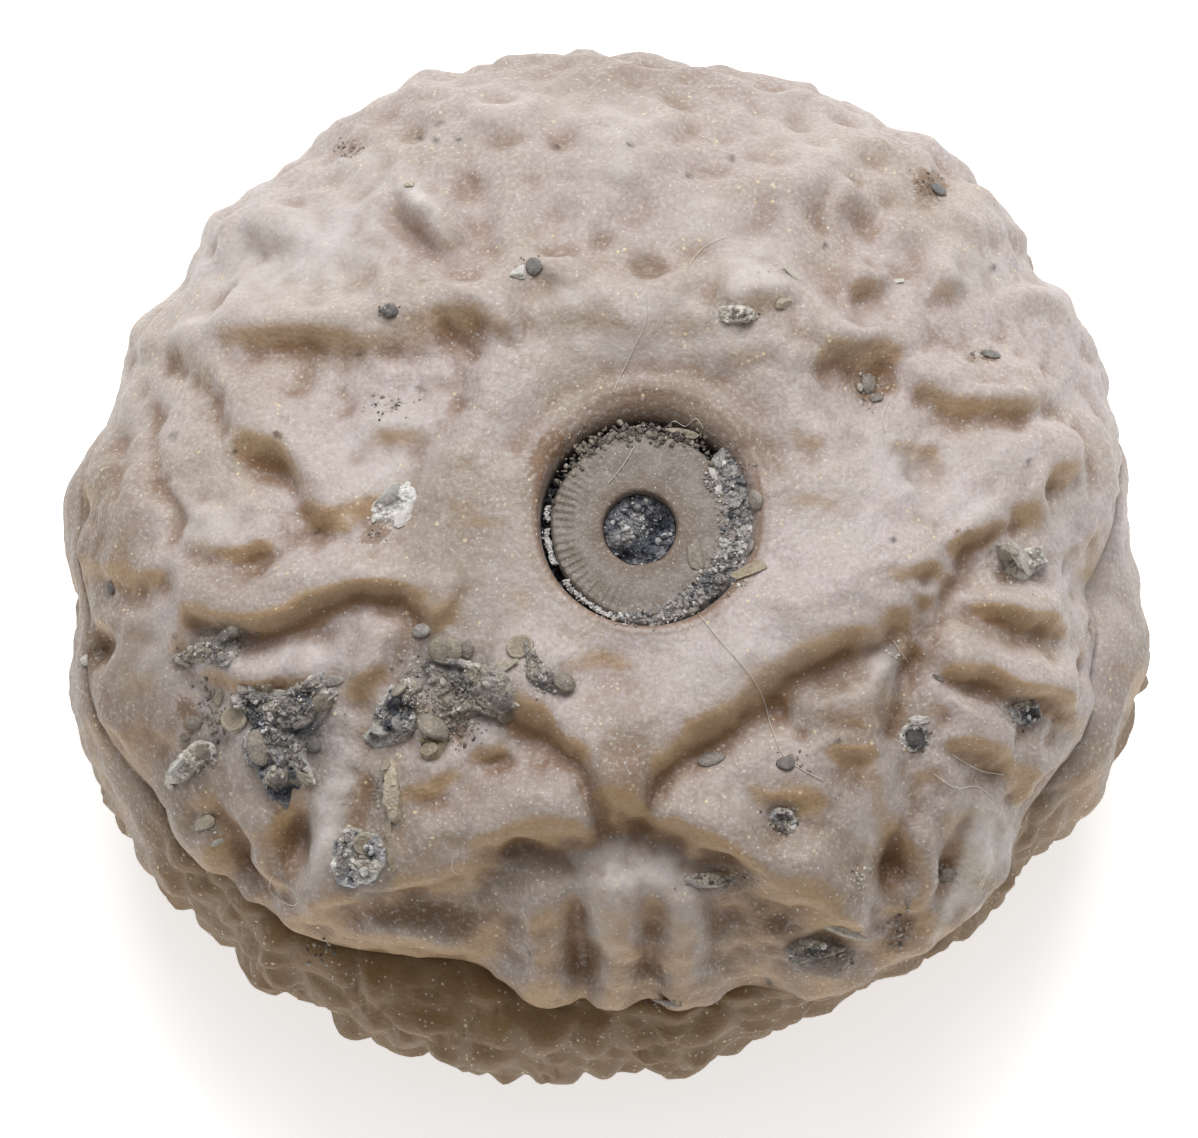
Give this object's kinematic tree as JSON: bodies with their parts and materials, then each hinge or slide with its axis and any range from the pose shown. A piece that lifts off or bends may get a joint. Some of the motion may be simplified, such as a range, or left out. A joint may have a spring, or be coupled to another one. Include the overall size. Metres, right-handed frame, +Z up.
{
  "type": "fossil crinoid calyx",
  "caption": "Low globose fossil crinoid cup lying on its roof, stem side up, with a round stem pit holding the last stem disc and crumbs of dark matrix.",
  "frame": {"origin": "on the flat worn resting face, straight below the axis of the stem pit", "axes": "+Z up along the stem axis, away from the resting face; +X along the cup's longest width; +Y to the side that overhangs the stem pit more"},
  "size_m": [0.0299, 0.0285, 0.0184],
  "materials": {
    "calcite": "satin, waxy, mottled pinkish taupe with ochre-brown slopes",
    "stem_calcite": "dull grey-taupe, radially ridged",
    "canal_crystal": "dark blue-grey crystals with glints",
    "matrix_dark": "rough dark grey matrix with sparkling grains",
    "matrix_brown": "rough grey-brown matrix",
    "matrix_pale": "pale grey crumbly matrix",
    "matrix_ochre": "ochre chip",
    "matrix_beige": "beige crust",
    "matrix_white": "chalky white flake"
  },
  "bodies": {
    "root": {"calyx": "calcite", "stem_columnal": "stem_calcite", "canal_crystals": "canal_crystal", "pit_crescent": "matrix_dark", "matrix_left": "matrix_dark", "matrix_upper_left": "matrix_brown", "matrix_pale_streak": "matrix_pale", "matrix_middle": "matrix_brown", "matrix_arm": "matrix_brown", "matrix_rough": "matrix_dark", "matrix_chip": "matrix_ochre", "matrix_strip": "matrix_beige", "matrix_round": "matrix_dark", "white_flake": "matrix_white", "matrix_right": "matrix_pale", "matrix_right_low": "matrix_dark", "matrix_bead": "matrix_dark", "matrix_front_pocket": "matrix_dark", "matrix_front_crumb": "matrix_pale", "matrix_lip_pocket": "matrix_brown", "matrix_back": "matrix_pale"}
  },
  "joints": []
}
